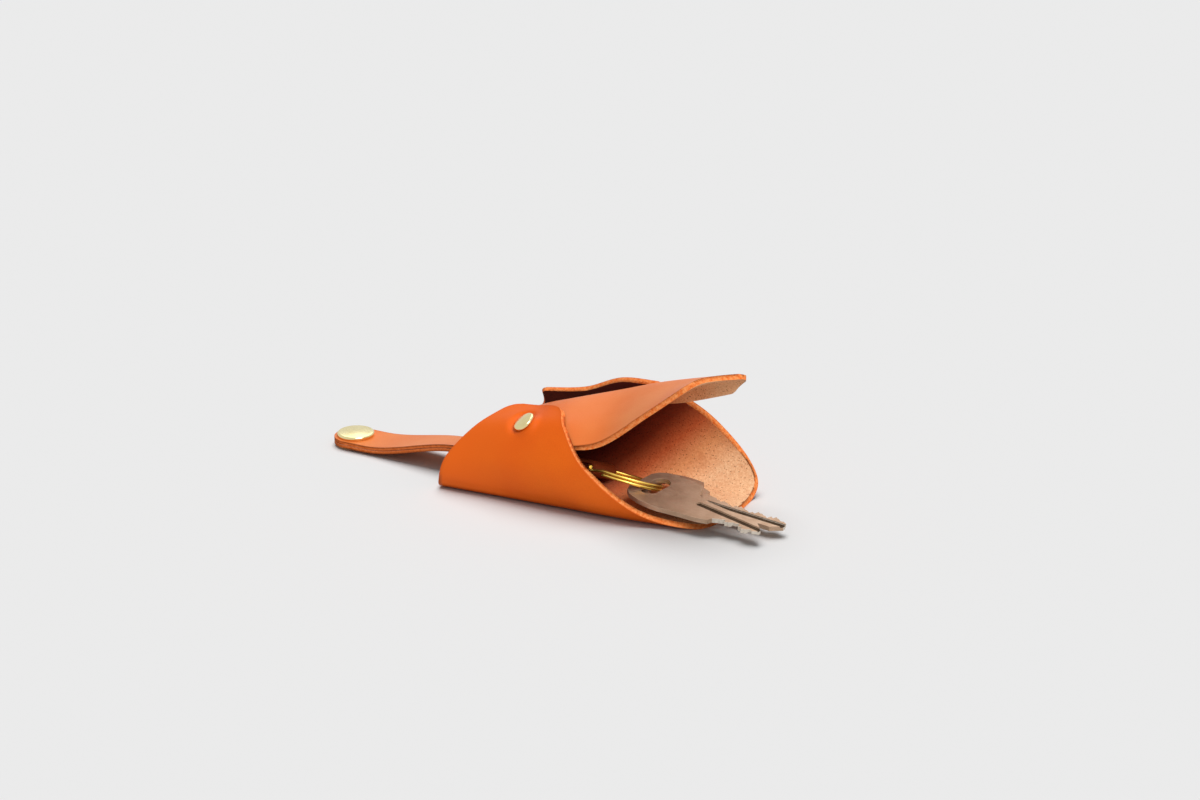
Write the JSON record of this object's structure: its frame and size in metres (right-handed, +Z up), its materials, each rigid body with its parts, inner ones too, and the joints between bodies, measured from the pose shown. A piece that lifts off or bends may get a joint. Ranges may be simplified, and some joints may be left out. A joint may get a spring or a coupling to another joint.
{
  "type": "leather key case",
  "caption": "Bell-shaped leather key case with a riveted flap, a doubled pull strap closed by a press stud, and a split ring with keys.",
  "frame": {"origin": "on the surface that the case lies on, under the middle of its bounding box", "axes": "+X along the case from the pull strap to the open mouth, +Y to the rear wing, +Z up"},
  "size_m": [0.2014, 0.0533, 0.0559],
  "materials": {
    "leather": "satin",
    "flap_leather": "satin",
    "cap_brass": "polished",
    "brass": "polished",
    "key_metal": "worn"
  },
  "bodies": {
    "pouch": {"pouch_shell": "leather", "top_flap": "flap_leather", "front_rivet_cap": "cap_brass", "front_rivet_post": "brass", "rear_rivet_cap": "cap_brass", "rear_rivet_post": "brass"},
    "pull": {"strap": "flap_leather", "snap_stud": "brass", "snap_post": "cap_brass"},
    "tail": {"strap_tail": "flap_leather", "snap_cap": "cap_brass", "snap_socket": "brass"},
    "ring": {"split_ring": "brass"},
    "front_key": {"key_front": "key_metal"},
    "rear_key": {"key_rear": "key_metal"}
  },
  "joints": [
    {"name": "strap_slide", "type": "slide", "parent": "pouch", "child": "pull", "axis": [0.9954, -0.0958, 0], "range_m": [-0.015, 0.01]},
    {"name": "tail_lift", "type": "hinge", "parent": "pull", "child": "tail", "pos_m": [-0.05711, 0.00438, 0.00795], "axis": [0.0956, 0.9926, -0.0747], "range_deg": [0, 60]},
    {"name": "ring_lift", "type": "hinge", "parent": "pull", "child": "ring", "pos_m": [0.01813, -0.00246, 0.01053], "axis": [-0.0876, -0.9093, 0.4067], "range_deg": [0, 8]},
    {"name": "key_front_lift", "type": "hinge", "parent": "ring", "child": "front_key", "pos_m": [0.04609, -0.00869, 0.00937], "axis": [-0.2745, -0.8677, 0.4145], "range_deg": [0, 10]},
    {"name": "key_rear_swing", "type": "hinge", "parent": "ring", "child": "rear_key", "pos_m": [0.04648, -0.003, 0.00685], "axis": [0, 0, 1], "range_deg": [0, 8]}
  ]
}
